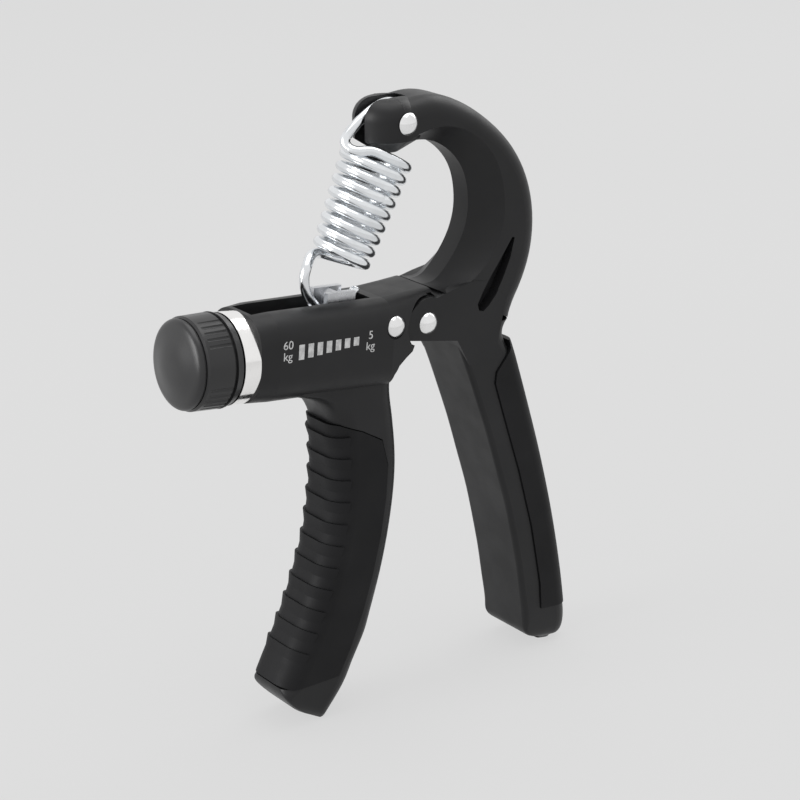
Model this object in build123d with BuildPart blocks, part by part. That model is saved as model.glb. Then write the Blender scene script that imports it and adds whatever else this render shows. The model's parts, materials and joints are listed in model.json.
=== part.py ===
from build123d import *
from math import asin, cos, hypot, radians, sin
import os

os.makedirs("parts", exist_ok=True)

# Adjustable hand grip strengthener, millimetres.  X runs from the tension knob (-X) to the
# palm handle (+X), Y is the thickness, Z is up.  The two handle ends stand on Z = 0 and the
# origin is under the middle of the overall width.

# ---- overall layout ----
PIVOT_X, PIVOT_Z = 9.77, 102.8          # pivot pin axis, parallel to Y
ARCH_PIN = (-5.4, 51.8)                 # spring anchor pin, from the pivot
CARRIAGE_PIN = (-22.8, 8.6)             # lower spring pin at rest, from the pivot
LINK_RIVET = (-11.2, 1.5)               # rivet that holds the hinge plate, from the pivot
HOUSING_TILT = -4.57                    # degrees, the housing falls towards the pivot
COLLAR_FRONT = (-56.3, -0.6)            # front centre of the silver collar, from the pivot

# ---- rear (palm) handle ----
ARCH_HALF = 8.5                         # half thickness of the arch and palm bar
ARCH_FLAT = 3.0                         # half width of the flat band inside the arch
ARCH_ROUND = 5.0
TIP_X, TIP_HIGH = -5.9, 13.6            # the rounded tip's upright axis and height
HAIR = 0.03                             # keeps two nearly equal surfaces apart
LUG_HALF, LUG_SIDE = 9.8, 9.7           # lug plate, and the bars where they run into it
NOSE_R = 6.65
LUG_SLOT_HALF = 3.15
ARCH_SLOT_HALF = 2.1
JACKET = 1.9                            # thickness of the soft grips
PALM_PROUD = 0.45                       # how far each soft grip stands out of its bar
FINGER_PROUD, FLUSH = 0.9, 0.2
GROOVE = 0.2                            # line left open around a soft grip

# ---- front (finger) handle ----
HOUSING_HALF = 11.5
CAVITY_R = 7.25
CHANNEL_HALF = 4.25
CHANNEL_FLOOR = -6.0
CHANNEL_STEP = 4.2
CHANNEL_START, CHANNEL_MID, CHANNEL_END = 4.5, 36.4, 41.2
RIBS, RIB_START, RIB_STEP = 11, 3.5, 5.8
RIB_LONG, RIB_RISE, RIB_SINK = 3.5, 0.6, 0.13   # each rib slopes down to under the surface
PRINT = 0.1                             # thickness of the printed scale

# ---- screw, knob and carriage ----
SCREW_R = 3.0
COLLAR_R, COLLAR_BORE, COLLAR_LONG = 11.5, 9.0, 4.5
KNOB_R = 11.9
FLUTE_GROUPS, FLUTES, FLUTE_STEP = 4, 5, 9.0   # groups of grooves with plain stretches between
FLUTE_START, FLUTE_TURN = -9.2, 20.0

# ---- pins and spring ----
PIN_R = 2.0
HEAD_R, HEAD_H = 2.8, 1.5
WIRE_R = 1.3
COIL_TOP, COIL_END = (-8.45, 43.6), (-20.9, 17.25)
COIL_R_TOP, COIL_R_END = 8.05, 6.35
COIL_TURNS = 9
# side-view points and sideways place of the wire over the arch pin and into the coil, and from
# the coil round the carriage pin
UPPER_HOOK = [(0.9, 47.2, 0.0), (1.1, 49.8, 0.0), (-0.2, 52.8, 0.0), (-2.8, 55.1, 0.0),
              (-6.2, 55.8, 0.0), (-9.6, 54.9, 0.0), (-12.9, 53.1, 0.0), (-16.0, 50.8, 0.0),
              (-18.4, 48.4, 0.0), (-18.5, 46.6, -1.0), (-17.2, 45.7, -3.0)]
LOWER_HOOK = [(-27.4, 19.6, 2.6), (-30.0, 17.9, 0.5), (-31.2, 15.0, 0.0), (-30.6, 11.4, 0.0),
              (-28.4, 7.8, 0.0), (-25.2, 5.4, 0.0), (-21.6, 4.9, 0.0), (-18.0, 6.5, 0.0),
              (-15.8, 9.8, 0.0)]


def at(x, z):
    """A point of the side view, measured from the pivot."""
    return (PIVOT_X + x, PIVOT_Z + z)


def at3(x, z, y=0.0):
    return (PIVOT_X + x, y, PIVOT_Z + z)


def chain(points):
    return [at(x, z) for x, z in points]


def flipped(points, flip):
    """The same outline for a plane whose upward axis points up (1) or down (-1)."""
    return [(x, z * flip) for x, z in chain(points)]


def trim_foot():
    """Level off the end of a handle where it stands on the floor."""
    with BuildSketch(Plane.XY) as floor:
        Rectangle(400, 100)
    extrude(floor.sketch, amount=-20, mode=Mode.SUBTRACT)


TILT = radians(HOUSING_TILT)
ALONG = Vector(cos(TILT), 0, sin(TILT))
UPWARD = Vector(-sin(TILT), 0, cos(TILT))
SCREW_ORIGIN = Vector(*at3(*COLLAR_FRONT))
SCREW_AXIS = Axis(SCREW_ORIGIN, ALONG)
SIDE = Plane(origin=SCREW_ORIGIN, x_dir=ALONG, z_dir=(0, -1, 0))   # x along the screw, y up


def on_screw(point):
    """(distance along the screw, height above it) of a side-view point."""
    v = Vector(*at3(*point)) - SCREW_ORIGIN
    return v.dot(ALONG), v.dot(UPWARD)


CARRIAGE_S, CARRIAGE_U = on_screw(CARRIAGE_PIN)
COIL_DOWN = Vector(COIL_END[0] - COIL_TOP[0], 0, COIL_END[1] - COIL_TOP[1]).normalized()
COIL_LEFT = Vector(COIL_DOWN.Z, 0, -COIL_DOWN.X)


def across(s):
    """Plane square to the screw axis, s millimetres behind the collar's front."""
    return Plane(origin=SCREW_ORIGIN + ALONG * s, x_dir=(0, 1, 0), z_dir=ALONG)


def turned(profile, mode=Mode.ADD):
    """Revolve a closed (s, radius) outline about the screw axis."""
    with BuildSketch(SIDE) as outline:
        with BuildLine():
            Polyline(*profile, close=True)
        make_face()
    revolve(outline.sketch, axis=SCREW_AXIS, mode=mode)


def tube(s0, s1, outer, inner):
    turned([(s0, inner), (s1, inner), (s1, outer), (s0, outer)])


def pin(x, z, half, radius=PIN_R, head=HEAD_R, rise=HEAD_H):
    """A rivet along Y with a low domed head at each end."""
    sphere = (head * head + rise * rise) / (2 * rise)
    middle = asin(head / sphere) / 2
    disc(x, z, radius, half)
    for side in (1, -1):
        with BuildSketch(Plane(origin=at3(x, z), x_dir=(1, 0, 0), z_dir=(0, 0, 1))) as dome:
            with BuildLine():
                Polyline((0, side * (half + rise)), (0, side * half), (head, side * half))
                ThreePointArc((head, side * half),
                              (sphere * sin(middle), side * (half + rise - sphere * (1 - cos(middle)))),
                              (0, side * (half + rise)))
            make_face()
        revolve(dome.sketch, axis=Axis(at3(x, z), (0, 1, 0)))


def side_slab(points, half, mode=Mode.ADD):
    """Extrude a side-view polygon to both sides of the middle plane."""
    with BuildSketch(Plane.XZ) as outline:
        with BuildLine():
            Polyline(*chain(points), close=True)
        make_face()
    extrude(outline.sketch, amount=half, both=True, mode=mode)


def stack(layers, flip, mode=Mode.ADD):
    """Ruled loft between side-view polygons at given distances to one side of the middle."""
    faces = []
    for depth, points in layers:
        face = Plane(origin=(0, -flip * depth, 0), x_dir=(1, 0, 0), z_dir=(0, -flip, 0))
        with BuildSketch(face) as layer:
            with BuildLine():
                Polyline(*flipped(points, flip), close=True)
            make_face()
        faces.append(layer.sketch)
    loft(faces, ruled=True, mode=mode)


def disc(x, z, radius, half, mode=Mode.ADD):
    """Cylinder along Y centred on the middle plane."""
    with BuildSketch(Plane.XZ) as outline:
        with Locations(at(x, z)):
            Circle(radius)
    extrude(outline.sketch, amount=half, both=True, mode=mode)


def arch_section(inner, outer, slope, half):
    """Closed outline across the arch: flat inner band, sloped sides, rounded back."""
    a, b = Vector(*at3(*inner)), Vector(*at3(*outer))
    wide = (b - a).length
    flat, r = ARCH_FLAT, ARCH_ROUND
    k = r * (1 - 0.7071)
    plane = Plane(origin=a, x_dir=(0, 1, 0), z_dir=Vector(0, 1, 0).cross((b - a).normalized()))
    with BuildSketch(plane) as outline:
        with BuildLine():
            Polyline((-flat, 0), (flat, 0), (half, slope), (half, wide - r))
            ThreePointArc((half, wide - r), (half - k, wide - k), (half - r, wide))
            Line((half - r, wide), (r - half, wide))
            ThreePointArc((r - half, wide), (k - half, wide - k), (-half, wide - r))
            Polyline((-half, wide - r), (-half, slope), (-flat, 0))
        make_face()
    return outline.sketch


def bar_section(inner, outer, half, r_inner, r_outer, grow=0.0):
    """Rounded section across a handle bar between two side-view points."""
    a, b = Vector(*at3(*inner)), Vector(*at3(*outer))
    way = (b - a).normalized()
    a, wide, half = a - way * grow, (b - a).length + 2 * grow, half + grow
    p, q = max(0.3, r_inner + grow), max(0.3, r_outer + grow)
    kp, kq = p * (1 - 0.7071), q * (1 - 0.7071)
    plane = Plane(origin=a, x_dir=(0, 1, 0), z_dir=Vector(0, 1, 0).cross(way))
    with BuildSketch(plane) as outline:
        with BuildLine():
            Line((p - half, 0), (half - p, 0))
            ThreePointArc((half - p, 0), (half - kp, kp), (half, p))
            Line((half, p), (half, wide - q))
            ThreePointArc((half, wide - q), (half - kq, wide - kq), (half - q, wide))
            Line((half - q, wide), (q - half, wide))
            ThreePointArc((q - half, wide), (kq - half, wide - kq), (-half, wide - q))
            Line((-half, wide - q), (-half, p))
            ThreePointArc((-half, p), (kp - half, kp), (p - half, 0))
        make_face()
    return outline.sketch


def bar(pairs, grow=0.0, ruled=False):
    """Loft a handle bar through (inner, outer, half, inner radius, outer radius) sections."""
    for inner, outer, half, r_inner, r_outer in pairs:
        add(bar_section(inner, outer, half, r_inner, r_outer, grow))
    loft(ruled=ruled)


def jacket(section, proud, flush):
    """A bar section grown mostly at its inner side, for a grip that fades out behind."""
    inner, outer, half, r_inner, r_outer = section
    wide = hypot(outer[0] - inner[0], outer[1] - inner[1])
    way = ((outer[0] - inner[0]) / wide, (outer[1] - inner[1]) / wide)
    return ((inner[0] - way[0] * proud, inner[1] - way[1] * proud),
            (outer[0] + way[0] * flush, outer[1] + way[1] * flush),
            half + flush, r_inner + proud, r_outer)


def between(a, b, t):
    """Mix two bar sections."""
    def mix(p, q):
        return p + (q - p) * t

    return ((mix(a[0][0], b[0][0]), mix(a[0][1], b[0][1])),
            (mix(a[1][0], b[1][0]), mix(a[1][1], b[1][1])),
            mix(a[2], b[2]), mix(a[3], b[3]), mix(a[4], b[4]))


def along_bar(pairs, distance):
    """Section of a bar at a distance down its inner (first) side."""
    for a, b in zip(pairs, pairs[1:]):
        step = hypot(b[0][0] - a[0][0], b[0][1] - a[0][1])
        if distance <= step:
            return between(a, b, distance / step)
        distance -= step
    return pairs[-1]


# =====================================================================================
# rear handle: a bar bent round from the forked tip, over the top and down the palm side
# =====================================================================================
# inner point, outer point, depth of the sloped sides and half thickness, from the tip
ARCH = [((-6.0, 43.8), (-6.0, 57.4), 3.6, 8.5), ((2.2, 45.9), (2.9, 57.4), 3.8, 8.5),
        ((7.6, 44.4), (12.3, 55.0), 5.0, 8.5), ((12.4, 41.0), (21.9, 49.1), 6.2, 8.5),
        ((15.8, 36.5), (29.5, 41.9), 7.0, 8.5), ((17.6, 30.4), (35.3, 32.0), 7.6, 8.5),
        ((17.4, 23.2), (37.3, 21.0), 7.6, 8.8), ((14.6, 16.6), (35.9, 12.0), 7.0, 9.4),
        ((9.4, 10.4), (32.2, 3.4), 5.2, LUG_SIDE), ((2.7, 8.4), (28.6, -4.6), 3.0, LUG_SIDE)]
# inner and outer point, half thickness and corner radii of each section of the palm bar
PALM = [((8.7, -3.0), (28.5, -4.4), 9.6, 1.4, 4.8), ((10.5, -8.5), (27.7, -11.2), 9.65, 1.4, 4.4),
        ((12.9, -14.0), (31.9, -18.0), 9.6, 1.4, 4.8), ((17.6, -26.4), (36.3, -31.4), 9.5, 1.4, 5.0),
        ((21.1, -36.3), (39.3, -41.2), 9.5, 1.4, 5.0), ((24.2, -46.3), (42.1, -51.2), 9.5, 1.4, 5.0),
        ((27.3, -56.4), (44.6, -61.0), 9.5, 1.4, 5.0), ((29.8, -66.6), (46.8, -70.8), 9.5, 1.4, 5.0),
        ((32.0, -76.8), (48.7, -80.6), 9.5, 1.4, 5.0), ((33.7, -87.0), (50.3, -90.2), 9.4, 1.4, 5.0),
        ((34.7, -94.2), (51.2, -96.8), 9.3, 1.4, 5.0), ((35.1, -96.8), (50.8, -99.4), 9.0, 1.0, 4.6),
        ((38.5, -99.9), (49.2, -101.6), 7.8, 1.0, 3.4), ((42.3, -102.3), (47.2, -103.2), 5.6, 0.8, 1.6)]
GRIP_HEAD = ((10.5, -8.5), (28.9, -10.2), 9.65, 1.4, 4.4)   # top section of the palm grip
PALM_GRIP = [(45.0, -9.4), (27.0, -9.4), (27.3, -12.0), (22.5, -17.7), (22.1, -20.8), (25.3, -30.6),
             (30.9, -47.6), (35.7, -64.9), (39.3, -83.1), (39.9, -90.8), (60.0, -92.6)]
LUG_PLATE = [(-5.8, -3.55), (9.4, -6.5), (13.5, -14.0), (22.0, -14.0), (23.0, -8.7), (24.0, -4.1),
             (25.5, 2.0), (20.0, 7.5), (14.6, 8.6), (9.6, 7.8), (5.4, 6.9), (2.7, 6.24)]
CROWN_OUTER = [(2.9, 6.1), (6.2, 6.7), (6.2, 2.5), (2.9, 2.5)]
CROWN_INNER = [(2.9, 8.2), (6.2, 7.7), (6.2, 2.5), (2.9, 2.5)]
POCKET_RIM = [(17.9, -0.2), (19.9, 1.3), (22.1, 3.7), (24.0, 7.0), (25.4, 9.8), (26.9, 12.7),
              (28.6, 17.9), (27.8, 18.4), (25.2, 15.4), (22.6, 12.2), (19.9, 8.9), (17.5, 5.5),
              (15.7, 2.1), (16.3, 0.2)]
POCKET_FLOOR = [(17.9, -0.2), (19.9, 1.3), (22.1, 3.7), (24.0, 7.0), (25.4, 9.8), (26.9, 12.7),
                (28.3, 16.8), (27.6, 16.6), (26.2, 13.9), (24.5, 10.7), (22.7, 7.7), (20.7, 4.5),
                (18.5, 1.6), (17.5, 0.3)]
POCKET_DEEP = 3.2
TIP_SLOT = [(-20.0, 38.0), (2.9, 38.0), (2.9, 50.5), (1.6, 54.0), (-1.2, 57.0), (-1.2, 64.0),
            (-20.0, 64.0)]

with BuildPart() as palm_core:
    bar(PALM, -JACKET)
with BuildPart() as palm_pocket:
    side_slab(PALM_GRIP, 14)
    add(palm_core.part, mode=Mode.SUBTRACT)

with BuildPart() as rear_handle:
    for section in ARCH:
        add(arch_section(*section))
    loft()
    # the tip is closed by turning its own section, a hair smaller, about an upright line
    r, w, deep = ARCH_ROUND, ARCH_HALF - HAIR, TIP_HIGH - 2 * HAIR
    with BuildSketch(Plane.XZ) as tip:
        with BuildLine():
            Polyline((0, 0), (ARCH_FLAT, 0), (w, ARCH[0][2]), (w, deep - r))
            ThreePointArc((w, deep - r), (w - r * 0.293, deep - r * 0.293), (w - r, deep))
            Polyline((w - r, deep), (0, deep), (0, 0))
        make_face()
    tip_foot = at3(TIP_X, ARCH[0][0][1] + HAIR)
    revolve(tip.sketch.moved(Location(tip_foot)), axis=Axis(tip_foot, (0, 0, 1)))
    with BuildPart(mode=Mode.PRIVATE) as palm_full:
        bar(PALM)
    add(palm_full.part)
    add(palm_pocket.part, mode=Mode.SUBTRACT)
    # lug plate, the wedge that joins it to the end of the arch, and the tapered pocket
    for flip in (1, -1):
        with BuildSketch(Plane(origin=(0, 0, 0), x_dir=(1, 0, 0), z_dir=(0, -flip, 0))) as plate:
            with BuildLine():
                ThreePointArc(*flipped([(2.7, 6.24), (-NOSE_R, 0.0), (-5.8, -3.55)], flip))
                Polyline(*flipped(LUG_PLATE, flip))
            make_face()
        extrude(plate.sketch, amount=LUG_HALF)
    for flip in (1, -1):
        stack([(LUG_SLOT_HALF - 0.35, CROWN_INNER), (LUG_HALF - 0.2, CROWN_OUTER)], flip)
    for flip in (1, -1):
        stack([(LUG_HALF - POCKET_DEEP, POCKET_FLOOR), (LUG_HALF + 0.3, POCKET_RIM)], flip,
              mode=Mode.SUBTRACT)
    # slots for the hinge plate and the spring's upper hook, holes for the two pins
    disc(0, 0, 7.4, LUG_SLOT_HALF, mode=Mode.SUBTRACT)
    side_slab([(-9, -9), (0, -9), (0, 9.0), (-9, 9.0)], LUG_SLOT_HALF, mode=Mode.SUBTRACT)
    side_slab(TIP_SLOT, ARCH_SLOT_HALF, mode=Mode.SUBTRACT)
    disc(0, 0, PIN_R, 20, mode=Mode.SUBTRACT)
    disc(*ARCH_PIN, PIN_R, 20, mode=Mode.SUBTRACT)
    trim_foot()

with BuildPart() as rear_grip:
    bar([GRIP_HEAD] + PALM[2:11], PALM_PROUD)
    with BuildPart(mode=Mode.PRIVATE) as shape:
        side_slab([(x + GROOVE, z - GROOVE) for x, z in PALM_GRIP], 14)
    add(shape.part, mode=Mode.INTERSECT)
    add(rear_handle.part, mode=Mode.SUBTRACT)

with BuildPart() as pivot_pin:
    pin(0, 0, LUG_HALF)
with BuildPart() as arch_pin:
    pin(*ARCH_PIN, ARCH_HALF)
with BuildPart() as pivot_washers:
    for y in (-(LUG_SLOT_HALF - 0.3), LUG_SLOT_HALF - 0.3):
        with BuildSketch(Plane(origin=at3(0, 0, y), x_dir=(1, 0, 0), z_dir=(0, -1, 0))) as ring:
            Circle(5.2)
            Circle(PIN_R, mode=Mode.SUBTRACT)
        extrude(ring.sketch, amount=0.3, both=True)

# =====================================================================================
# front handle: screw housing with the finger bar under it
# =====================================================================================
# inner (finger side) point, outer point, half thickness and corner radii down the bar
FINGER = [((-40.5, -9.6), (-6.4, -5.8), 8.9, 3.0, 1.6), ((-38.6, -12.4), (-8.2, -7.6), 8.9, 3.0, 2.0),
          ((-35.2, -13.7), (-9.2, -9.6), 8.8, 3.6, 2.8),
          ((-31.6, -15.6), (-9.7, -12.4), 8.8, 4.2, 3.6),
          ((-28.9, -18.6), (-9.6, -16.0), 8.7, 4.8, 4.2),
          ((-27.3, -22.4), (-9.0, -20.6), 8.7, 5.2, 4.5), ((-26.6, -28.0), (-8.2, -27.2), 8.7, 5.2, 4.5),
          ((-26.5, -36.0), (-7.7, -36.4), 8.7, 5.2, 4.5), ((-27.3, -45.0), (-8.5, -46.5), 8.7, 5.2, 4.5),
          ((-28.8, -54.0), (-10.4, -57.2), 8.7, 5.2, 4.5), ((-31.3, -62.0), (-12.8, -66.7), 8.7, 5.2, 4.5),
          ((-34.2, -70.0), (-15.8, -76.1), 8.7, 5.2, 4.5), ((-37.9, -78.0), (-19.6, -85.5), 8.6, 5.2, 4.5),
          ((-41.6, -85.0), (-23.3, -92.6), 8.6, 5.2, 4.5), ((-44.3, -90.6), (-26.2, -97.3), 8.4, 4.6, 4.5),
          ((-44.2, -93.2), (-28.8, -100.1), 8.2, 1.8, 3.8), ((-42.2, -96.2), (-30.6, -102.0), 7.6, 1.2, 2.6),
          ((-38.0, -99.8), (-31.9, -103.2), 6.4, 1.0, 1.2)]
FINGER_GRIP = [(-60.0, -21.0), (-26.0, -22.4), (-20.0, -24.9), (-13.8, -28.6), (-12.0, -36.0),
               (-12.7, -45.0), (-14.4, -55.0), (-17.0, -65.0), (-20.3, -75.0), (-24.4, -84.5),
               (-28.0, -91.0), (-60.0, -91.6)]
RIB_FRONT = [(-60.0, -24.0), (-24.0, -24.0), (-23.6, -36.0), (-24.3, -45.0), (-25.8, -54.0),
             (-28.3, -62.0), (-31.2, -70.0), (-34.9, -78.0), (-38.6, -85.0), (-41.0, -90.0),
             (-60.0, -90.0)]
CAVITY_FOOT = [(-9.5, -3.75), (-1.5, -5.45), (-1.5, -12.0), (-9.5, -12.0)]
BEHIND = [(2.3, 7.6), (2.3, 14.0), (16.0, 14.0), (16.0, -30.0), (-12.8, -30.0), (-12.2, -14.3),
          (-11.6, -11.0), (-10.2, -8.9), (-7.8, -7.3), (-5.6, -6.1), (-4.6, -4.2), (0.4, -4.2),
          (0.4, 7.6)]


def housing(sections, grow=0.0):
    """Loft of (distance along the screw, down, up, half, lower radius, upper radius)."""
    for s, down, up, half, r_low, r_top in sections:
        foot = SCREW_ORIGIN + ALONG * s - UPWARD * down
        top = SCREW_ORIGIN + ALONG * s + UPWARD * up
        add(bar_section((foot.X - PIVOT_X, foot.Z - PIVOT_Z), (top.X - PIVOT_X, top.Z - PIVOT_Z),
                        half, r_low, r_top, grow))
    loft(ruled=True)


HOUSING = [(4.5, 10.9, 11.5, 11.3, 9.0, 8.0), (10.0, 10.9, 11.8, HOUSING_HALF, 7.8, 6.8),
           (44.0, 10.9, 12.1, HOUSING_HALF, 6.4, 6.2), (52.0, 10.9, 13.0, 10.4, 5.0, 5.0),
           (58.9, 10.9, 13.8, LUG_HALF, 4.0, 4.0)]
PLATE_HALF = 2.5                        # hinge plate: half thickness
PLATE_EYE, PLATE_TAIL = 6.2, 3.2

with BuildPart() as hinge_plate:
    with BuildSketch(Plane.XZ) as plate:
        with Locations((PIVOT_X, PIVOT_Z)):
            Circle(PLATE_EYE)
        with Locations(at(*LINK_RIVET)):
            Circle(PLATE_TAIL)
        with BuildLine():
            Polyline(*chain([(-1.2, 5.4), (-11.6, 4.68), (-10.8, -1.68), (-1.0, -4.6)]), close=True)
        make_face()
        with Locations((PIVOT_X, PIVOT_Z)):
            Circle(PIN_R + 0.06, mode=Mode.SUBTRACT)
        with Locations(at(*LINK_RIVET)):
            Circle(PIN_R, mode=Mode.SUBTRACT)
    extrude(plate.sketch, amount=PLATE_HALF, both=True)
with BuildPart() as link_rivet:
    pin(*LINK_RIVET, 10.95)

with BuildPart() as finger_core:
    bar(FINGER, -JACKET)
with BuildPart() as finger_pocket:
    side_slab(FINGER_GRIP, 14)
    add(finger_core.part, mode=Mode.SUBTRACT)

with BuildPart() as front_handle:
    housing(HOUSING)
    side_slab(BEHIND, 14, mode=Mode.SUBTRACT)
    with BuildPart(mode=Mode.PRIVATE) as finger_full:
        bar(FINGER)
    add(finger_full.part)
    add(finger_pocket.part, mode=Mode.SUBTRACT)
    with BuildSketch(Plane.XZ) as cavity:
        with Locations((PIVOT_X, PIVOT_Z)):
            Circle(CAVITY_R)
        with BuildLine():
            Polyline(*chain(CAVITY_FOOT), close=True)
        make_face(mode=Mode.SUBTRACT)
    extrude(cavity.sketch, amount=14, both=True, mode=Mode.SUBTRACT)
    # spigot for the collar and the bushing
    tube(2.0, CHANNEL_START, COLLAR_BORE, 5.0)
    tube(CHANNEL_START - 0.5, CHANNEL_START + 0.3, 5.0, 4.9)
    # open channel for the carriage, deeper over the screw
    for s0, s1, floor in ((CHANNEL_START + 1.2, CHANNEL_END, CHANNEL_STEP),
                          (CHANNEL_START + 1.2, CHANNEL_MID, CHANNEL_FLOOR)):
        with BuildSketch(SIDE) as channel:
            with BuildLine():
                Polyline((s0, floor), (s1, floor), (s1, 18), (s0, 18), close=True)
            make_face()
        extrude(channel.sketch, amount=CHANNEL_HALF, both=True, mode=Mode.SUBTRACT)
    # bores: bushing at the knob end, end bearing, rivet and the pocket of the hinge plate
    tube_cut = [(0.5, 0.0), (CHANNEL_START + 1.2, 0.0), (CHANNEL_START + 1.2, 5.0), (0.5, 5.0)]
    turned(tube_cut, mode=Mode.SUBTRACT)
    turned([(30.0, 0.0), (41.0, 0.0), (41.0, 3.4), (30.0, 3.4)], mode=Mode.SUBTRACT)
    disc(*LINK_RIVET, PIN_R, 14, mode=Mode.SUBTRACT)
    disc(*LINK_RIVET, PLATE_TAIL, PLATE_HALF, mode=Mode.SUBTRACT)
    disc(0, 0, PLATE_EYE, PLATE_HALF, mode=Mode.SUBTRACT)
    side_slab([(-1.2, 5.4), (-11.6, 4.68), (-10.8, -1.68), (-1.0, -4.6)], PLATE_HALF,
              mode=Mode.SUBTRACT)
    for y in (-10.95, 10.95):
        spot = Plane(origin=at3(*LINK_RIVET, y), x_dir=(1, 0, 0), z_dir=(0, 1 if y > 0 else -1, 0))
        with BuildSketch(spot) as seat:
            Circle(HEAD_R + 0.25)
        extrude(seat.sketch, amount=3, mode=Mode.SUBTRACT)
    trim_foot()

with BuildPart() as front_grip:
    bar([jacket(section, FINGER_PROUD, FLUSH) for section in FINGER[4:15]])
    with BuildPart(mode=Mode.PRIVATE) as shape:
        side_slab([(x - GROOVE, z - GROOVE) for x, z in FINGER_GRIP], 14)
    with BuildPart(mode=Mode.PRIVATE) as ribs:
        for i in range(RIBS):
            top = along_bar(FINGER[5:15], RIB_START + i * RIB_STEP)
            low = along_bar(FINGER[5:15], RIB_START + i * RIB_STEP + RIB_LONG)
            with BuildPart(mode=Mode.PRIVATE) as rib:
                add(bar_section(*jacket(top, FINGER_PROUD + RIB_RISE, FLUSH + RIB_RISE)))
                add(bar_section(*jacket(low, FINGER_PROUD - RIB_SINK, FLUSH - RIB_SINK)))
                loft(ruled=True)
            add(rib.part)
        with BuildPart(mode=Mode.PRIVATE) as front_only:
            side_slab(RIB_FRONT, 14)
        add(front_only.part, mode=Mode.INTERSECT)
    add(ribs.part)
    add(shape.part, mode=Mode.INTERSECT)
    add(front_handle.part, mode=Mode.SUBTRACT)

with BuildPart() as collar_ring:
    tube(0.0, COLLAR_LONG, COLLAR_R, COLLAR_BORE)
with BuildPart() as screw_bushing:
    turned([(1.2, SCREW_R + 0.06), (5.7, SCREW_R + 0.06), (5.7, 5.0), (2.0, 5.0), (2.0, 7.2),
            (1.2, 7.2)])
with BuildPart() as end_bearing:
    tube(36.9, 41.0, 3.4, 1.86)

# printed scale: tall to short bars between the heavy and the light end
GLYPHS = {"6": "afgecd", "0": "abcdef", "5": "afgcd", "k": "efgx", "g": "abcdfg"}
MARK_W, MARK_H, STROKE = 1.55, 2.9, 0.36


def glyph(letter, s, u):
    """Segment strokes of one character with its lower left corner at (s, u)."""
    w, h, t = MARK_W, MARK_H, STROKE
    boxes = {"a": (w / 2, h, w, t), "d": (w / 2, 0, w, t), "g": (w / 2, h / 2, w, t),
             "f": (0, h * 0.75, t, h / 2 + t), "e": (0, h * 0.25, t, h / 2 + t),
             "b": (w, h * 0.75, t, h / 2 + t), "c": (w, h * 0.25, t, h / 2 + t),
             "x": (w, h * 0.25, t, h / 2 + t)}
    for key in GLYPHS[letter]:
        x, y, dx, dy = boxes[key]
        with Locations((s + x, u + y)):
            Rectangle(dx, dy)


with BuildPart() as scale_marks:
    face = Plane(origin=SCREW_ORIGIN + Vector(0, -HOUSING_HALF, 0), x_dir=ALONG, z_dir=(0, -1, 0))
    with BuildSketch(face) as marks:
        glyph("6", 10.3, 3.4)
        glyph("0", 12.6, 3.4)
        glyph("k", 10.3, -0.5)
        glyph("g", 12.6, -0.5)
        for i in range(7):
            tall = 3.8 - 0.27 * i
            with Locations((16.0 + 2.72 * i, 4.75 - tall / 2)):
                Rectangle(1.6, tall)
        glyph("5", 35.8, 3.3)
        glyph("k", 34.8, 0.0)
        glyph("g", 37.1, 0.0)
    extrude(marks.sketch, amount=PRINT)

# =====================================================================================
# tension screw, knob and carriage
# =====================================================================================
with BuildPart() as knob_body:
    turned([(-0.45, 3.0), (0.4, 3.0), (0.4, 8.4), (-0.45, 8.4), (-0.45, 11.4), (-2.2, KNOB_R),
            (-2.35, 11.2), (-2.9, 11.2), (-3.1, KNOB_R - 0.1), (-10.0, KNOB_R - 0.3),
            (-10.5, 11.1), (-10.5, 7.4), (-6.1, 7.4), (-6.1, 3.0)])
    with BuildSketch(across(FLUTE_START)) as flutes:
        for group in range(FLUTE_GROUPS):
            for k in range(FLUTES):
                turn = 360 / FLUTE_GROUPS * group + FLUTE_STEP * k + FLUTE_TURN
                with PolarLocations(KNOB_R + 0.12, 1, start_angle=turn):
                    Circle(0.6)
    extrude(flutes.sketch, amount=-2.9 - FLUTE_START, mode=Mode.SUBTRACT)
with BuildPart() as knob_cap:
    with BuildSketch(SIDE) as dome:
        with BuildLine():
            Spline((-11.3, 11.2), (-13.0, 8.8), (-14.4, 0.0), tangents=((-0.55, -0.1), (0, -1)))
            Polyline((-14.4, 0.0), (-12.6, 0.0), (-11.8, 6.0), (-7.6, 6.0), (-7.6, 7.3), (-10.7, 7.3),
                     (-10.7, 11.0), (-11.3, 11.2))
        make_face()
    revolve(dome.sketch, axis=SCREW_AXIS)
with BuildPart() as knob_nut:
    with BuildSketch(across(-9.3)) as hexagon:
        RegularPolygon(4.2, 6, major_radius=True)
        Circle(2.0, mode=Mode.SUBTRACT)
    extrude(hexagon.sketch, amount=3.2)
with BuildPart() as lead_screw:
    turned([(-9.8, 0.0), (-9.8, 2.0), (-6.1, 2.0), (-6.1, SCREW_R), (6.1, SCREW_R), (6.1, 2.4),
            (7.0, 2.4), (7.0, SCREW_R), (36.2, SCREW_R), (36.2, 1.8), (40.7, 1.8), (40.7, 0.0)])
with BuildPart() as thrust_washer:
    tube(0.5, 1.1, 6.4, SCREW_R)
with BuildPart() as screw_clip:
    with BuildSketch(across(6.15)) as clip:
        Circle(3.9)
        Circle(2.4, mode=Mode.SUBTRACT)
        with Locations((0, 3.2)):
            Rectangle(2.6, 3.2, mode=Mode.SUBTRACT)
    extrude(clip.sketch, amount=0.7)


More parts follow.
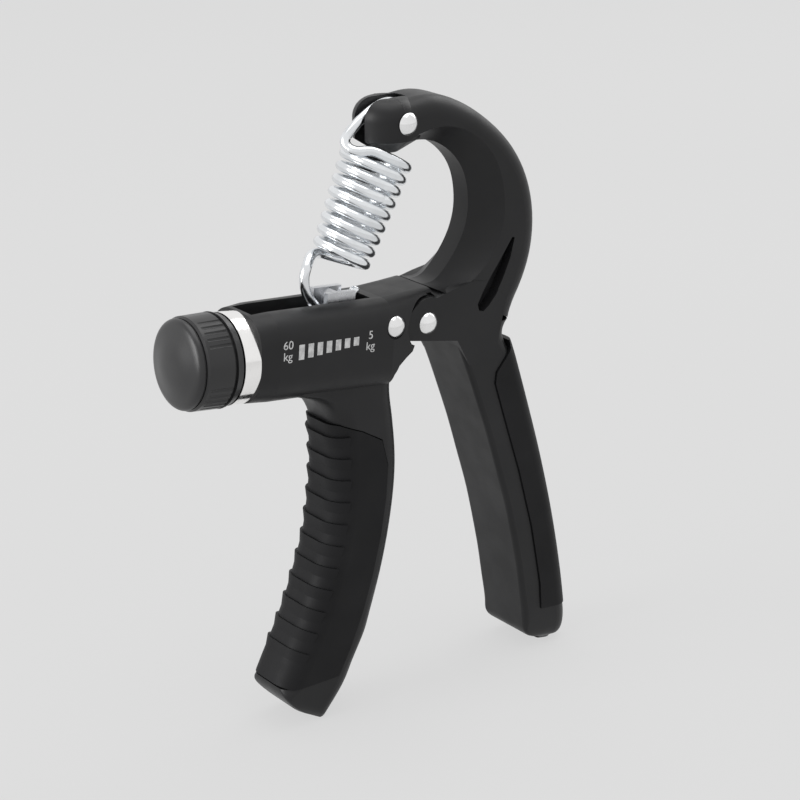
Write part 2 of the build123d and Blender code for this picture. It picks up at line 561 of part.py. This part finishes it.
def block(s0, s1, u0, u1, y0, y1, mode=Mode.ADD):
    """Box in the screw's own axes."""
    with BuildSketch(SIDE.offset(-y1)) as outline:
        with BuildLine():
            Polyline((s0, u0), (s1, u0), (s1, u1), (s0, u1), close=True)
        make_face()
    extrude(outline.sketch, amount=y1 - y0, mode=mode)


CHEEK = 3.9
with BuildPart() as carriage_nut:
    block(CARRIAGE_S - 9.2, CARRIAGE_S - 1.2, -5.6, 4.6, -CHEEK, CHEEK)
    turned([(CARRIAGE_S - 12, 0), (CARRIAGE_S + 2, 0), (CARRIAGE_S + 2, SCREW_R + 0.08),
            (CARRIAGE_S - 12, SCREW_R + 0.08)], mode=Mode.SUBTRACT)
with BuildPart() as carriage:
    block(CARRIAGE_S - 9.2, CARRIAGE_S + 4.2, 4.6, 5.8, -CHEEK, CHEEK)
    for side in (-1, 1):
        y0, y1 = sorted((side * 2.2, side * CHEEK))
        block(CARRIAGE_S - 4.2, CARRIAGE_S + 4.2, 5.8, CARRIAGE_U + 2.4, y0, y1)
    disc(*CARRIAGE_PIN, PIN_R, 6, mode=Mode.SUBTRACT)
with BuildPart() as carriage_pin:
    disc(*CARRIAGE_PIN, PIN_R, CHEEK)

# =====================================================================================
# extension spring, one wire shown as three lengths
# =====================================================================================


def coil_point(turn):
    """Centre of the wire after a number of turns: left, front, right, back, and so on down."""
    t = turn / COIL_TURNS
    centre = Vector(*at3(*COIL_TOP)) * (1 - t) + Vector(*at3(*COIL_END)) * t
    r = COIL_R_TOP + (COIL_R_END - COIL_R_TOP) * t
    angle = radians(360 * turn)
    return centre + COIL_LEFT * (r * cos(angle)) + Vector(0, -r * sin(angle), 0)


def wire(points):
    with BuildLine() as path:
        Spline(*points)
    with BuildSketch(Plane(origin=path.line @ 0, z_dir=path.line % 0)) as round_wire:
        Circle(WIRE_R)
    sweep(round_wire.sketch, path=path.line)


def coil(first, last):
    """Points of the coil between two turns, twelve to a turn."""
    steps = round((last - first) * 12)
    return [coil_point(first + (last - first) * i / steps) for i in range(steps + 1)]


def route(points):
    return [Vector(*at3(x, z, y)) for x, z, y in points]


with BuildPart() as spring_upper:
    wire(route(UPPER_HOOK) + coil(0.12, 3.99))
with BuildPart() as spring_middle:
    wire(coil(4.0, 4.99))
with BuildPart() as spring_lower:
    wire(coil(5.0, 8.86) + route(LOWER_HOOK))

NODES = {
    "rear_handle": rear_handle, "rear_grip": rear_grip, "pivot_pin": pivot_pin,
    "pivot_washers": pivot_washers, "arch_pin": arch_pin, "front_handle": front_handle,
    "front_grip": front_grip, "hinge_plate": hinge_plate, "link_rivet": link_rivet,
    "collar_ring": collar_ring, "screw_bushing": screw_bushing, "end_bearing": end_bearing,
    "scale_marks": scale_marks, "knob_body": knob_body, "knob_cap": knob_cap,
    "knob_nut": knob_nut, "lead_screw": lead_screw, "thrust_washer": thrust_washer,
    "screw_clip": screw_clip, "carriage": carriage, "carriage_nut": carriage_nut,
    "carriage_pin": carriage_pin, "spring_upper": spring_upper, "spring_middle": spring_middle,
    "spring_lower": spring_lower,
}
for name, piece in NODES.items():
    piece.part.label = name
    export_step(piece.part, f"parts/{name}.step")
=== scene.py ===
import json
from math import cos, pi, radians, sin

import bmesh
import bpy
from mathutils import Matrix, Vector


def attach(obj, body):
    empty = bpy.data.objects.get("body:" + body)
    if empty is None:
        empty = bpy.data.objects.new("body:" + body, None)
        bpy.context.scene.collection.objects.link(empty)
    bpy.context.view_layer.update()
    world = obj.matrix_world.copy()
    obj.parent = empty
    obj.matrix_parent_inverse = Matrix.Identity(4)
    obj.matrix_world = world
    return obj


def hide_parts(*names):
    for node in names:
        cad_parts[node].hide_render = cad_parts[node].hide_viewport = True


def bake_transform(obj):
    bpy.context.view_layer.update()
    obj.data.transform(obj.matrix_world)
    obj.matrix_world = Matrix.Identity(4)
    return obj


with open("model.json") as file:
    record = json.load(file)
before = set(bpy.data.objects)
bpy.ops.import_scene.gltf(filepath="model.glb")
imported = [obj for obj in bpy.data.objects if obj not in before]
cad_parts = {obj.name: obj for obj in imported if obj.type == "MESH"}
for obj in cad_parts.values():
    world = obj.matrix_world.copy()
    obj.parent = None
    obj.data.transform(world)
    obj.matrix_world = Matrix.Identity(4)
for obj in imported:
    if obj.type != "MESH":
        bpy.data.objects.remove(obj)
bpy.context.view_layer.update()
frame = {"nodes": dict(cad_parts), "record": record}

MM = 0.001

# ---- places taken over from the CAD, in metres ----
PIVOT = Vector((9.77, 0, 102.8)) * MM
TILT = radians(-4.57)
ALONG = Vector((cos(TILT), 0, sin(TILT)))           # along the screw, towards the pivot
UPWARD = Vector((-sin(TILT), 0, cos(TILT)))
SCREW_ORIGIN = PIVOT + Vector((-56.3, 0, -0.6)) * MM
ACROSS = Vector((0, 1, 0))


def on_side(x, z, y=0.0):
    """A point of the side view, in millimetres from the pivot."""
    return PIVOT + Vector((x, y, z)) * MM


def on_screw(s, u=0.0, y=0.0):
    """A point s millimetres along the screw, u above it and y across."""
    return SCREW_ORIGIN + (ALONG * s + UPWARD * u + ACROSS * y) * MM


# =====================================================================================
# materials
# =====================================================================================
NOISE_LOW, NOISE_HIGH = 0.35, 0.65      # the part of a noise's range that a finish uses
GLOSS_SPREAD = 0.04                     # how much smoother than its mean a surface gets


class Nodes:
    """A material's node tree with short ways to add what these finishes need."""

    def __init__(self, name):
        self.material = bpy.data.materials.new(name)
        self.material.use_nodes = True
        self.tree = self.material.node_tree
        self.shader = self.tree.nodes["Principled BSDF"]
        self.place = self.tree.nodes.new("ShaderNodeTexCoord").outputs["Object"]

    def set(self, **values):
        for name, value in values.items():
            self.shader.inputs[name.replace("_", " ")].default_value = value
        return self

    def noise(self, scale, detail):
        node = self.tree.nodes.new("ShaderNodeTexNoise")
        node.inputs["Scale"].default_value = scale
        node.inputs["Detail"].default_value = detail
        self.tree.links.new(self.place, node.inputs["Vector"])
        return node.outputs["Fac"]

    def between(self, factor, low, high):
        """A number that runs from low to high with the factor."""
        node = self.tree.nodes.new("ShaderNodeMapRange")
        node.inputs["From Min"].default_value = NOISE_LOW
        node.inputs["From Max"].default_value = NOISE_HIGH
        node.inputs["To Min"].default_value = low
        node.inputs["To Max"].default_value = high
        self.tree.links.new(factor, node.inputs["Value"])
        return node.outputs["Result"]

    def colours(self, factor, low, high):
        """A colour that runs from low to high with the factor."""
        ramp = self.tree.nodes.new("ShaderNodeValToRGB")
        ends = zip(ramp.color_ramp.elements, (NOISE_LOW, NOISE_HIGH), (low, high))
        for element, position, colour in ends:
            element.position = position
            element.color = (*colour, 1)
        self.tree.links.new(factor, ramp.inputs["Fac"])
        return ramp.outputs["Color"]

    def link(self, output, name):
        self.tree.links.new(output, self.shader.inputs[name])
        return self

    def bump(self, height, strength, distance):
        """Adds a bump layer on top of those already there; the distance is in metres."""
        node = self.tree.nodes.new("ShaderNodeBump")
        node.inputs["Strength"].default_value = strength
        node.inputs["Distance"].default_value = distance
        self.tree.links.new(height, node.inputs["Height"])
        before = self.shader.inputs["Normal"].links
        if before:
            self.tree.links.new(before[0].from_socket, node.inputs["Normal"])
        self.tree.links.new(node.outputs["Normal"], self.shader.inputs["Normal"])
        return self


def grey(value, blue=0.0):
    return (value, value, value + blue)


def moulded_black(name, dark, light, rough, spec, grain, grain_scale=2600):
    """Black moulded plastic: a fine spark-eroded grain, soft flow marks and uneven gloss."""
    m = Nodes(name).set(Specular_IOR_Level=spec)
    clouding = m.noise(scale=60, detail=3)
    m.link(m.colours(clouding, grey(dark, 0.0006), grey(light, 0.0008)), "Base Color")
    gloss = m.noise(scale=140, detail=4)
    m.link(m.between(gloss, rough - GLOSS_SPREAD, rough + 0.05), "Roughness")
    m.bump(m.noise(grain_scale, detail=1.5), grain, distance=0.00004)
    m.bump(m.noise(scale=120, detail=2), strength=0.05, distance=0.0002)
    return m.material


def metal(name, low, high, rough, grain=0.04, scale=900):
    """Plated or polished metal: faint clouding in colour and gloss, fine scratches."""
    m = Nodes(name).set(Metallic=1.0)
    m.link(m.colours(m.noise(scale=160, detail=3), low, high), "Base Color")
    m.link(m.between(m.noise(scale, detail=3), rough - GLOSS_SPREAD, rough + 0.06), "Roughness")
    m.bump(m.noise(scale * 2, detail=2), grain, distance=0.00003)
    return m.material


def printed_ink():
    m = Nodes("print_ink").set(Roughness=0.55)
    m.link(m.colours(m.noise(scale=900, detail=3), grey(0.42), grey(0.60)), "Base Color")
    m.bump(m.noise(scale=2400, detail=2), strength=0.08, distance=0.00003)
    return m.material


# black mouldings: darkest and lightest grey, roughness, specular level, depth of grain, its scale
# metals: darkest and lightest colour, roughness, depth of scratches, their scale
MATERIALS = {
    "handle_plastic": moulded_black("handle_plastic", 0.0090, 0.0120, 0.42, 0.28, 0.14),
    "grip_rubber": moulded_black("grip_rubber", 0.0065, 0.0090, 0.55, 0.17, 0.25, 1800),
    "knob_plastic": moulded_black("knob_plastic", 0.0140, 0.0180, 0.32, 0.45, 0.06),
    "bushing_plastic": moulded_black("bushing_plastic", 0.05, 0.06, 0.45, 0.45, 0.10),
    "rivet_steel": metal("rivet_steel", grey(0.80), grey(0.90), 0.16),
    "spring_wire": metal("spring_wire", (0.78, 0.80, 0.82), (0.88, 0.90, 0.92), 0.17, 0.06, 1300),
    "collar_steel": metal("collar_steel", (0.93, 0.92, 0.91), (0.98, 0.97, 0.96), 0.14, 0.03, 700),
    "zinc_plate": metal("zinc_plate", (0.52, 0.53, 0.55), (0.66, 0.67, 0.69), 0.30, 0.10),
    "brass": metal("brass", (0.70, 0.50, 0.20), (0.80, 0.60, 0.28), 0.28, 0.08),
    "print_ink": printed_ink(),
}


def finish(obj, slot):
    obj.data.materials.clear()
    obj.data.materials.append(MATERIALS[slot])


SLOT_OF = {p["node"]: p["material_slot"] for p in frame["record"]["subparts"]}
for node, obj in frame["nodes"].items():
    finish(obj, SLOT_OF[node])


# =====================================================================================
# mesh helpers
# =====================================================================================
def in_scene(name, data):
    obj = bpy.data.objects.new(name, data)
    bpy.context.scene.collection.objects.link(obj)
    return obj


def new_piece(name, mesh, slot, body=None):
    obj = in_scene(name, mesh)
    finish(obj, slot)
    if body:
        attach(obj, body)
    return obj


def mesh_from(bm, name):
    mesh = bpy.data.meshes.new(name)
    bm.to_mesh(mesh)
    bm.free()
    return mesh


def skin(bm, rings):
    """Closes a row of equal rings of points into a smooth body with flat ends."""
    sides = len(rings[0])
    for a, b in zip(rings, rings[1:]):
        for k in range(sides):
            bm.faces.new((a[k], a[(k + 1) % sides], b[(k + 1) % sides], b[k]))
    bm.faces.new(list(reversed(rings[0])))
    bm.faces.new(rings[-1])
    for face in bm.faces:
        face.smooth = len(face.verts) == 4


def tube_mesh(name, points, radius):
    """A round wire through the points, with its ends slightly rounded."""
    sides = 16
    end_reach, end_radius = 0.35 * radius, 0.7 * radius
    bm = bmesh.new()
    tangents = [(points[min(i + 1, len(points) - 1)] - points[max(i - 1, 0)]).normalized()
                for i in range(len(points))]
    normal = tangents[0].orthogonal().normalized()
    rings = []
    stations = [(points[0] - tangents[0] * end_reach, tangents[0], end_radius)]
    stations += [(p, t, radius) for p, t in zip(points, tangents)]
    stations += [(points[-1] + tangents[-1] * end_reach, tangents[-1], end_radius)]
    for centre, tangent, r in stations:
        normal = (normal - tangent * normal.dot(tangent)).normalized()
        side = tangent.cross(normal)
        rings.append([bm.verts.new(centre + (normal * cos(2 * pi * k / sides)
                                             + side * sin(2 * pi * k / sides)) * r)
                      for k in range(sides)])
    skin(bm, rings)
    return mesh_from(bm, name)


def smooth_path(points):
    """Points of a Catmull-Rom curve through the given ones."""
    steps = 8
    out = []
    ends = [points[0] * 2 - points[1]] + list(points) + [points[-1] * 2 - points[-2]]
    for a, b, c, d in zip(ends, ends[1:], ends[2:], ends[3:]):
        for i in range(steps):
            t = i / steps
            out.append(0.5 * ((b * 2) + (c - a) * t + (a * 2 - b * 5 + c * 4 - d) * t * t
                              + (b * 3 - a - c * 3 + d) * t * t * t))
    return out + [points[-1]]


# =====================================================================================
# spring
# =====================================================================================
WIRE_R = 1.3
COIL_TOP, COIL_END = (-8.45, 43.6), (-20.9, 17.25)      # ends of the coil's centre line
COIL_R_TOP, COIL_R_END = 8.05, 6.35
COIL_TURNS = 9
MIDDLE_TURN = 3.25                      # where the two lengths of wire meet
# turns over which the wire curves from a hook into the coil, and the plain coil between them
TOP_BEND, BOTTOM_BEND = (0.12, 0.54), (8.44, 8.86)
COIL_START, COIL_STOP = 0.565, 8.415
BEND_POINTS, COIL_POINTS = 12, 40       # per turn
# side-view points and sideways place of the wire over the arch pin and into the coil, and from
# the coil round the carriage pin
UPPER_HOOK = [(0.9, 47.2, 0.0), (1.1, 49.8, 0.0), (-0.2, 52.8, 0.0), (-2.8, 55.1, 0.0),
              (-6.2, 55.8, 0.0), (-9.6, 54.9, 0.0), (-12.9, 53.1, 0.0), (-16.0, 50.8, 0.0),
              (-18.4, 48.4, 0.0), (-18.5, 46.6, -1.0), (-17.2, 45.7, -3.0)]
LOWER_HOOK = [(-27.4, 19.6, 2.6), (-30.0, 17.9, 0.5), (-31.2, 15.0, 0.0), (-30.6, 11.4, 0.0),
              (-28.4, 7.8, 0.0), (-25.2, 5.4, 0.0), (-21.6, 4.9, 0.0), (-18.0, 6.5, 0.0),
              (-15.8, 9.8, 0.0)]
COIL_DOWN = (on_side(*COIL_END) - on_side(*COIL_TOP)).normalized()
COIL_LEFT = Vector((COIL_DOWN.z, 0, -COIL_DOWN.x))


def coil_point(turn):
    """Centre of the wire: left, front, right, back, and so on down the coil."""
    t = turn / COIL_TURNS
    centre = on_side(*COIL_TOP).lerp(on_side(*COIL_END), t)
    r = (COIL_R_TOP + (COIL_R_END - COIL_R_TOP) * t) * MM
    return centre + COIL_LEFT * (r * cos(2 * pi * turn)) - ACROSS * (r * sin(2 * pi * turn))


def coil(first, last, per_turn=COIL_POINTS):
    steps = max(1, round((last - first) * per_turn))
    return [coil_point(first + (last - first) * i / steps) for i in range(steps + 1)]


def route(points):
    return [on_side(x, z, y) for x, z, y in points]


def wire(name, points):
    return new_piece(name, tube_mesh(name, points, WIRE_R * MM), "spring_wire")


def spring():
    """The wire in two lengths, each with its hook, meeting partway down the coil."""
    top = smooth_path(route(UPPER_HOOK) + coil(*TOP_BEND, BEND_POINTS))
    upper = wire("spring_coil_upper", top + coil(COIL_START, MIDDLE_TURN))
    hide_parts("spring_upper")
    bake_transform(upper)
    low = smooth_path(coil(*BOTTOM_BEND, BEND_POINTS) + route(LOWER_HOOK))
    lower = wire("spring_coil_lower", coil(MIDDLE_TURN, COIL_STOP) + low)
    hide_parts("spring_middle", "spring_lower")
    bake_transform(lower)


spring()


# =====================================================================================
# lead screw with its thread
# =====================================================================================
SCREW_R, KNOB_END_R, FAR_END_R = 3.0, 2.0, 1.8
THREAD_DEEP, PITCH = 0.55, 2.0
SCREW_RUN = (-6.1, 36.2)                # the thick part, between its two turned-down ends
SCREW_ENDS = (-9.8, 40.7)
PLAIN_END = 0.8                         # unthreaded length at each end of the thick part
PLAIN_SEAT = (-0.9, 7.0)                # unthreaded where the screw runs in its bushing
STEP_WIDE = 0.01                        # a shoulder's two rings stand this far apart


def screw_radius(s, turn):
    """Radius of the screw at a place along it and round it, in millimetres."""
    first, last = SCREW_RUN
    if s < first:
        return KNOB_END_R
    if s > last:
        return FAR_END_R
    if (s < first + PLAIN_END or s > last - PLAIN_END
            or PLAIN_SEAT[0] < s < PLAIN_SEAT[1]):
        return SCREW_R
    phase = (s / PITCH - turn) % 1
    return SCREW_R - THREAD_DEEP * min(1, max(0, 1.6 - abs(phase - 0.5) * 5))


def lead_screw():
    sides, step = 36, PITCH / 10
    first, last = SCREW_RUN
    stations = [SCREW_ENDS[0], first - STEP_WIDE]
    stations += [first + step * i for i in range(round((last - first) / step) + 1)]
    stations += [last + STEP_WIDE, SCREW_ENDS[1]]
    bm = bmesh.new()
    rings = []
    for s in stations:
        ring = []
        for k in range(sides):
            r = screw_radius(s, k / sides)
            a = 2 * pi * k / sides
            ring.append(bm.verts.new(on_screw(s, r * cos(a), r * sin(a))))
        rings.append(ring)
    skin(bm, rings)
    bmesh.ops.recalc_face_normals(bm, faces=bm.faces)
    piece = new_piece("threaded_screw", mesh_from(bm, "threaded_screw"), "zinc_plate", "knob")
    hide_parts("lead_screw")


lead_screw()

# =====================================================================================
# printed scale
# =====================================================================================
PRINT_SIZE = 3.0
PRINT_Y = -11.53                        # just proud of the housing's near side
PRINT_DEEP = 0.06
PRINT_WORDS = [("60", 12.0, 4.0), ("kg", 12.0, 1.2),    # each with its place on the screw's axes
               ("5", 36.7, 3.8), ("kg", 36.7, 1.0)]
BARS, BAR_WIDE, BAR_PITCH = 7, 1.6, 2.72
BAR_START, BAR_TOP = 16.0, 4.75
BAR_TALL, BAR_SHORTER = 3.8, 0.27       # the first bar, and how much each next one loses


def printed_words():
    """The marks' text objects, each facing out of the housing's near side."""
    face = Matrix(((*ALONG, 0), (*UPWARD, 0), (0, -1, 0, 0), (0, 0, 0, 1))).transposed()
    made = []
    for text, s, u in PRINT_WORDS:
        curve = bpy.data.curves.new("mark", "FONT")
        curve.body = text
        curve.size = PRINT_SIZE * MM
        curve.extrude = PRINT_DEEP / 2 * MM
        curve.align_x = "CENTER"
        obj = in_scene("mark", curve)
        obj.matrix_world = Matrix.Translation(on_screw(s, u, PRINT_Y)) @ face
        made.append(obj)
    return made


def print_scale():
    """Heavy and light ends of the scale, with bars that get shorter between them."""
    made = printed_words()
    bpy.context.view_layer.update()
    bm = bmesh.new()
    for obj in made:
        solid = obj.evaluated_get(bpy.context.evaluated_depsgraph_get())
        mesh = bpy.data.meshes.new_from_object(solid)
        mesh.transform(obj.matrix_world)
        bm.from_mesh(mesh)
        bpy.data.objects.remove(obj)
    for i in range(BARS):
        tall = BAR_TALL - BAR_SHORTER * i
        for v in bmesh.ops.create_cube(bm, size=1)["verts"]:
            v.co = on_screw(BAR_START + BAR_PITCH * i + v.co.x * BAR_WIDE,
                            BAR_TOP - tall / 2 + v.co.y * tall,
                            PRINT_Y + v.co.z * PRINT_DEEP)
    piece = new_piece("scale_print", mesh_from(bm, "scale_print"), "print_ink", "front")
    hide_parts("scale_marks")


print_scale()

# =====================================================================================
# rounded edges of the moulded and metal parts, in millimetres
# =====================================================================================
EDGES = {"rear_handle": 0.35, "front_handle": 0.35, "rear_grip": 0.2, "front_grip": 0.15,
         "knob_body": 0.2, "collar_ring": 0.15, "carriage": 0.2, "hinge_plate": 0.2,
         "knob_nut": 0.2}
EDGE_ANGLE = radians(32)                # a flatter edge than this is part of a curve


def soften(obj, width):
    bevel = obj.modifiers.new("edges", "BEVEL")
    bevel.width = width * MM
    bevel.segments = 2
    bevel.limit_method = "ANGLE"
    bevel.angle_limit = EDGE_ANGLE
    bevel.use_clamp_overlap = True
    bevel.harden_normals = False


for node, width in EDGES.items():
    soften(frame["nodes"][node], width)


# =====================================================================================
# floor, light and camera
# =====================================================================================
WHITE = (1, 1, 1, 1)
FLOOR_HALF, FLOOR_DROP = 6, 0.0002      # half the floor's width, and how far it lies below zero
FLOOR_GLOW = 0.60
SKY = 0.85
LIGHT_TARGET = Vector((0, 0, 0.08))
# name, place, width and power of each softbox
SOFTBOXES = [("overhead", (0.1, 0.1, 1.6), 1.5, 12),
             ("left", (-1.5, 0.25, 0.55), 0.9, 17),
             ("right", (1.2, 0.3, 0.9), 0.9, 5)]
SENSOR, LENS = 36, 99
CAMERA_PLACE = PIVOT + Vector((-324.63, -428.56, 172.20)) * MM
CAMERA_RIGHT = Vector((0.7986, -0.6018, 0))
CAMERA_BACK = Vector((-0.5655, -0.7505, 0.3420))


def floor():
    bm = bmesh.new()
    bmesh.ops.create_grid(bm, x_segments=1, y_segments=1, size=FLOOR_HALF)
    obj = in_scene("floor", mesh_from(bm, "floor"))
    obj.location.z = -FLOOR_DROP
    m = Nodes("floor").set(Roughness=0.95, Specular_IOR_Level=0.0)
    m.set(Emission_Color=WHITE, Emission_Strength=FLOOR_GLOW)
    m.link(m.colours(m.noise(scale=3, detail=1), grey(0.086), grey(0.088)), "Base Color")
    obj.data.materials.append(m.material)


def softbox(name, place, size, power):
    light = bpy.data.lights.new(name, "AREA")
    light.shape = "RECTANGLE"
    light.size = size
    light.size_y = size
    light.energy = power
    obj = in_scene(name, light)
    obj.location = place
    obj.rotation_euler = (LIGHT_TARGET - Vector(place)).to_track_quat("-Z", "Y").to_euler()


def studio():
    scene = bpy.context.scene
    scene.world = bpy.data.worlds.new("studio")
    scene.world.use_nodes = True
    background = scene.world.node_tree.nodes["Background"]
    background.inputs["Color"].default_value = WHITE
    background.inputs["Strength"].default_value = SKY
    for box in SOFTBOXES:
        softbox(*box)
    scene.view_settings.view_transform = "Standard"
    scene.view_settings.look = "None"


def camera():
    data = bpy.data.cameras.new("camera")
    data.sensor_width = SENSOR
    data.lens = LENS
    data.clip_start = 0.01
    obj = in_scene("camera", data)
    turned = Matrix((CAMERA_RIGHT, CAMERA_BACK.cross(CAMERA_RIGHT), CAMERA_BACK)).transposed()
    obj.matrix_world = Matrix.Translation(CAMERA_PLACE) @ turned.to_4x4()
    bpy.context.scene.camera = obj


floor()
studio()
camera()
